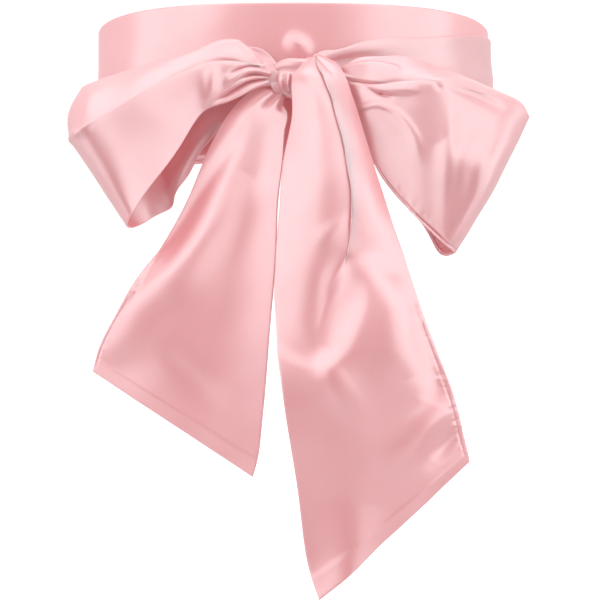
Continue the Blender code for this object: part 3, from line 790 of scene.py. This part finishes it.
def edge_distance(grid):
    """Distance of each point from the nearer long edge, along its row."""
    reach = reach_across(grid)
    return np.minimum(reach, reach[:, -1:] - reach)


def cloth_shell(name, grid, facing, material, closed=False):
    """Two layers of cloth on a grid, joined round rounded edges, as one closed mesh."""
    grid = with_nose(grid, closed)
    rows, columns = grid.shape[:2]
    normals = grid_normals(grid, facing, closed)
    away = edge_distance(grid)
    if not closed:
        away = np.minimum(away, edge_distance(grid.transpose(1, 0, 2)).T)
    half = CLOTH_HALF * np.sqrt(1 - (1 - np.clip(away / NOSE, 0, 1))**2)
    outer = grid + normals * half[..., None]
    inner = grid - normals * half[..., None]
    rim = np.zeros((rows, columns), bool)
    rim[:, 0] = rim[:, -1] = True
    if not closed:
        rim[0] = rim[-1] = True
    outer_index = np.arange(rows * columns).reshape(rows, columns)
    inner_index = outer_index.copy()
    inner_index[~rim] = rows * columns + np.arange((~rim).sum())
    points = np.concatenate((outer.reshape(-1, 3), inner[~rim])) * MM
    last = rows if closed else rows - 1
    following = (np.arange(last) + 1) % rows

    def quads(index, flip):
        a, b = index[:last, :-1], index[:last, 1:]
        c, d = index[following, 1:], index[following, :-1]
        order = (a, d, c, b) if flip else (a, b, c, d)
        return np.stack(order, -1).reshape(-1, 4)

    outward = facing > 0
    faces = np.concatenate((quads(outer_index, not outward), quads(inner_index, outward)))
    mesh = bpy.data.meshes.new(name)
    mesh.from_pydata(points.tolist(), [], faces.tolist())
    lay_out_weave(mesh, grid, outer_index, inner_index, rim, closed)
    mesh.materials.append(material)
    mesh.shade_smooth()
    return placed(name, mesh)


def lay_out_weave(mesh, grid, outer_index, inner_index, rim, closed):
    """Coordinates across and along the strip, in metres, for the weave and its sheen."""
    rows, columns = grid.shape[:2]
    steps_across = np.linalg.norm(np.diff(grid, axis=1), axis=2).max(axis=0)
    steps_along = np.linalg.norm(np.diff(grid, axis=0), axis=2).mean(axis=1)
    across = np.concatenate(([0.0], np.cumsum(steps_across)))
    along = np.concatenate(([0.0], np.cumsum(steps_along)))
    place = np.zeros((len(mesh.vertices), 2))
    flat = np.stack(np.broadcast_arrays(across[None, :], along[:, None]), -1) * MM
    place[outer_index.ravel()] = flat.reshape(-1, 2)
    place[inner_index[~rim]] = flat[~rim]
    layer = mesh.uv_layers.new(name="weave")
    loops = np.zeros(len(mesh.loops), int)
    mesh.loops.foreach_get("vertex_index", loops)
    layer.data.foreach_set("uv", place[loops].ravel())


def new_node(nodes, kind, **values):
    """A new node with its input sockets, or else its settings, given the values."""
    made = nodes.new(kind)
    for key, value in values.items():
        if key in made.inputs:
            made.inputs[key].default_value = value
        else:
            setattr(made, key, value)
    return made


def new_material(name):
    """A material with its nodes, its links and its shader."""
    made = bpy.data.materials.new(name)
    made.use_nodes = True
    tree = made.node_tree
    return made, tree.nodes, tree.links, tree.nodes["Principled BSDF"]


def satin_material():
    """Polyester satin: a smooth float-faced weave with a broad sheen across its threads."""
    material, nodes, links, shader = new_material("satin")
    for socket, value in SATIN_LOOK.items():
        shader.inputs[socket].default_value = value

    place = new_node(nodes, "ShaderNodeUVMap", uv_map="weave")
    tangent = new_node(nodes, "ShaderNodeTangent", direction_type="UV_MAP", uv_map="weave")
    links.new(tangent.outputs["Tangent"], shader.inputs["Tangent"])

    tone = new_node(nodes, "ShaderNodeTexNoise", Scale=TONE_SCALE, Detail=3.0, Roughness=0.5)
    links.new(place.outputs["UV"], tone.inputs["Vector"])
    colours = new_node(nodes, "ShaderNodeValToRGB")
    for element, (position, colour) in zip(colours.color_ramp.elements, SATIN_TONES):
        element.position = position
        element.color = colour
    links.new(tone.outputs["Fac"], colours.inputs["Fac"])
    links.new(colours.outputs["Color"], shader.inputs["Base Color"])

    stretch = new_node(nodes, "ShaderNodeMapping", Scale=WEAVE_SCALE)
    links.new(place.outputs["UV"], stretch.inputs["Vector"])
    threads = new_node(nodes, "ShaderNodeTexNoise", Scale=1.0, Detail=2.0, Roughness=0.6)
    links.new(stretch.outputs["Vector"], threads.inputs["Vector"])
    bump = new_node(nodes, "ShaderNodeBump", Strength=WEAVE_STRENGTH, Distance=WEAVE_DEPTH)
    links.new(threads.outputs["Fac"], bump.inputs["Height"])
    links.new(bump.outputs["Normal"], shader.inputs["Normal"])
    return material


def knot_form():
    """The knot's grid of points: a squared ball with folds in front and ripples behind."""
    turn = np.linspace(0, 2 * math.pi, KNOT_STEPS[0], endpoint=False)
    tip = math.pi * np.linspace(0, 1, KNOT_STEPS[1] + 1)[:, None]
    ball = (-np.cos(tip), np.sin(tip) * np.sin(turn), np.sin(tip) * np.cos(turn))
    normals = np.stack(np.broadcast_arrays(*ball), -1)
    powers = np.array((1.0, KNOT_SQUARENESS, KNOT_SQUARENESS))
    squared = np.sign(normals) * np.abs(normals)**powers
    points = np.array(KNOT_CENTRE) + squared * np.array(KNOT_HALF)
    outward = normals / np.array(KNOT_HALF)
    outward /= np.linalg.norm(outward, axis=2, keepdims=True)
    lift = np.zeros(points.shape[:2])
    for fold in FOLDS["knot", "both"]:
        lift += fold_height(points[..., [0, 2]].reshape(-1, 2), fold).reshape(lift.shape)
    lift *= soft_step(-outward[..., 1] * KNOT_FADE)
    behind = 0
    for height, pace, sway, start in KNOT_RIPPLES:
        behind = behind + height * np.sin(points[..., 0] * pace + sway * np.sin(turn) + start)
    behind = behind * soft_step(outward[..., 1] * KNOT_FADE + KNOT_OVERLAP)
    return points + outward * (lift + behind)[..., None]


def knot_piece(material):
    """The knot: the strip's end over a lump of gathered cloth, as one closed mesh."""
    points = knot_form()
    rows, around = points.shape[:2]
    index = np.arange(rows * around).reshape(rows, around)
    following = np.roll(index, -1, axis=1)
    faces = np.stack((index[:-1], index[1:], following[1:], following[:-1]), -1).reshape(-1, 4)
    mesh = bpy.data.meshes.new("knot_cloth")
    mesh.from_pydata((points.reshape(-1, 3) * MM).tolist(), [], faces.tolist())
    layer = mesh.uv_layers.new(name="weave")
    for loop in mesh.loops:
        i, j = divmod(loop.vertex_index, around)
        layer.data[loop.index].uv = (i / rows * KNOT_CLOTH[0], j / around * KNOT_CLOTH[1])
    mesh.materials.append(material)
    shape = bmesh.new()
    shape.from_mesh(mesh)
    bmesh.ops.remove_doubles(shape, verts=shape.verts, dist=MERGE_DISTANCE)
    bmesh.ops.recalc_face_normals(shape, faces=shape.faces)
    shape.to_mesh(mesh)
    shape.free()
    mesh.shade_smooth()
    return placed("knot_cloth", mesh)


def dress(piece, node):
    """Puts a cloth piece in place of its solid."""
    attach(piece, "root")
    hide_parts(node)


def make_camera():
    """A level camera straight in front."""
    camera = bpy.data.cameras.new("camera")
    camera.lens = CAMERA_LENS
    camera.sensor_width = FRAME_SIDE
    camera.clip_start = 0.01
    camera.clip_end = 50.0
    holder = placed("camera", camera)
    holder.location = CAMERA_PLACE
    holder.rotation_euler = (math.radians(90), 0, 0)
    bpy.context.scene.camera = holder


def softbox(name, place, target, size, radiance):
    """A large soft studio light that looks at the sash."""
    light = bpy.data.lights.new(name, "AREA")
    light.shape = "RECTANGLE"
    light.size, light.size_y = size
    light.energy = radiance * math.pi * size[0] * size[1]
    holder = placed(name, light)
    holder.location = place
    aim = np.array(target, float) - np.array(place, float)
    holder.rotation_euler = Vector(aim).to_track_quat("-Z", "Y").to_euler()
    holder.visible_camera = False


def make_surround():
    """A surround whose brightness changes from in front of the sash to behind it."""
    world = bpy.data.worlds.new("studio")
    world.use_nodes = True
    nodes, links = world.node_tree.nodes, world.node_tree.links
    direction = nodes.new("ShaderNodeTexCoord")
    parts = nodes.new("ShaderNodeSeparateXYZ")
    depth = nodes.new("ShaderNodeMapRange")
    depth.inputs["From Min"].default_value = -1.0
    brightness = nodes.new("ShaderNodeValToRGB")
    tones = brightness.color_ramp.elements
    for place, value in WORLD_TONES:
        tones.new(place).color = (value, value * WORLD_WARMTH, value * WORLD_WARMTH, 1)
    tones.remove(tones[0])
    tones.remove(tones[-1])
    links.new(direction.outputs["Generated"], parts.inputs["Vector"])
    links.new(parts.outputs["Y"], depth.inputs["Value"])
    links.new(depth.outputs["Result"], brightness.inputs["Fac"])
    links.new(brightness.outputs["Color"], nodes["Background"].inputs["Color"])
    bpy.context.scene.world = world


def floor_material():
    """A matt pale floor with a slight grain, bright enough to fade into the distance."""
    material, nodes, links, shader = new_material("pale_floor")
    shader.inputs["Roughness"].default_value = FLOOR_ROUGHNESS
    grain = new_node(nodes, "ShaderNodeTexNoise", Scale=FLOOR_GRAIN)
    shades = nodes.new("ShaderNodeValToRGB")
    for element, colour in zip(shades.color_ramp.elements, FLOOR_SHADES):
        element.color = colour
    links.new(grain.outputs["Fac"], shades.inputs["Fac"])
    links.new(shades.outputs["Color"], shader.inputs["Base Color"])
    shader.inputs["Emission Color"].default_value = (1, 1, 1, 1)
    shader.inputs["Emission Strength"].default_value = FLOOR_GLOW
    return material


def floor_profile():
    """The floor's rings from the centre out: radius and height."""
    level_rings, curve_rings = FLOOR_RINGS
    bend = FLOOR_RADIUS * FLOOR_LEVEL
    curve = FLOOR_RADIUS - bend
    profile = [(bend * k / level_rings, FLOOR_HEIGHT) for k in range(1, level_rings + 1)]
    for k in range(1, curve_rings + 1):
        turn = math.pi / 2 * k / curve_rings
        height = FLOOR_HEIGHT + curve * (1 - math.cos(turn))
        profile.append((bend + curve * math.sin(turn), height))
    profile.append((FLOOR_RADIUS, FLOOR_HEIGHT + FLOOR_RISE))
    return profile


def make_floor():
    """The floor, a disc of rings that stays out of the cloth's own light."""
    profile = floor_profile()
    around = FLOOR_SIDES
    points = []
    for radius, height in profile:
        for j in range(around):
            turn = 2 * math.pi * j / around
            points.append((radius * math.cos(turn), radius * math.sin(turn), height))
    points.append((0, 0, FLOOR_HEIGHT))
    centre = len(points) - 1
    faces = [(centre, j, (j + 1) % around) for j in range(around)]
    for i in range(len(profile) - 1):
        ring = i * around
        outer = ring + around
        for j in range(around):
            k = (j + 1) % around
            faces.append((ring + j, outer + j, outer + k, ring + k))
    mesh = bpy.data.meshes.new("floor")
    mesh.from_pydata(points, [], faces)
    mesh.materials.append(floor_material())
    mesh.shade_smooth()
    floor = placed("floor", mesh)
    floor.visible_diffuse = False
    floor.visible_glossy = False


def make_studio():
    """A pale floor that curves up into the distance, soft lights and a pale surround."""
    bpy.context.scene.view_settings.view_transform = "Standard"
    make_surround()
    for name, place, size, radiance in SOFTBOXES:
        softbox(name, place, LIGHT_TARGET, size, radiance)
    make_floor()


def uneven_fractions(count, both_ends):
    """Fractions from 0 to 1, closer together at the start or both ends, near the knot."""
    t = np.linspace(0, 1, count)
    spacing = np.ones(count)
    spacing -= CROWDING * np.exp(-(t / CROWDED_SHARE)**2)
    if both_ends:
        spacing -= CROWDING * np.exp(-((1 - t) / CROWDED_SHARE)**2)
    return np.concatenate(([0.0], np.cumsum(spacing))) / spacing.sum()


def map_of_turn(grid, distance):
    """The map of a turn round the waist: the distance round from the front, and the height."""
    return np.stack((np.broadcast_to(distance[:, None], grid.shape[:2]), grid[..., 2]), -1)


def make_turns(satin):
    """The two turns round the waist."""
    waist = CUT_LENGTHS["waist_band"]
    band = band_grid(*BAND_STEPS)
    arc = np.arange(len(band)) / len(band)
    places = map_of_turn(band, np.where(arc > 0.5, arc - 1, arc) * waist)
    band = finished("waist_band", band, 1, places=places, closed=True)
    piece = cloth_shell("waist_band_cloth", band, 1, satin, closed=True)
    dress(piece, "waist_band")

    wrap = wrap_grid(*WRAP_STEPS)
    distance = np.linspace(0, waist, len(wrap)) + WRAP_START
    distance = np.where(distance > waist / 2, distance - waist - 2 * WRAP_START, distance)
    wrap = finished("outer_wrap", wrap, 1, places=map_of_turn(wrap, distance))
    piece = cloth_shell("outer_wrap_cloth", wrap, 1, satin)
    dress(piece, "outer_wrap")


def make_bow(satin):
    """The two loops and the two tails."""
    from_knot = uneven_fractions(STEPS_ALONG, False)
    both_ends = uneven_fractions(STEPS_ALONG, True)
    creased_left = [LOOP_CREASE] * len(LOOP_LEFT)
    creased_right = [LOOP_CREASE] * len(LOOP_RIGHT)
    plain = [()] * len(TAIL_LEFT)
    pleated = [PLEAT_CORNERS if row.step > LEAST_STEP else () for row in TAIL_RIGHT]
    left_loop = loop_sections(LOOP_LEFT, -1)
    right_loop = loop_sections(LOOP_RIGHT, 1)
    left_tail = tail_sections(TAIL_LEFT)
    right_tail = pleated_sections(TAIL_RIGHT)
    # facing is the way that the outer side of a wall's sections faces
    walls = (
        ("loop_left", left_loop, creased_left, both_ends, -1, LOOP_FRONT, "gathered"),
        ("loop_right", right_loop, creased_right, both_ends, 1, LOOP_FRONT, "gathered"),
        ("tail_left", left_tail, plain, from_knot, -1, None, "hung"),
        ("tail_right", right_tail, pleated, from_knot, -1, None, "hung"),
    )
    for wall, sections, corners, along, facing, front_share, held in walls:
        grid = loft(sections, corners, along, STEPS_ACROSS[wall])
        grid = finished(wall, grid, facing, front_share)
        dress(cloth_shell(wall + "_cloth", grid, facing, satin), wall)


def make_sash():
    """The whole sash, one piece for each stretch of the strip."""
    satin = satin_material()
    make_turns(satin)
    make_bow(satin)
    dress(knot_piece(satin), "knot")


make_camera()
make_studio()
make_sash()
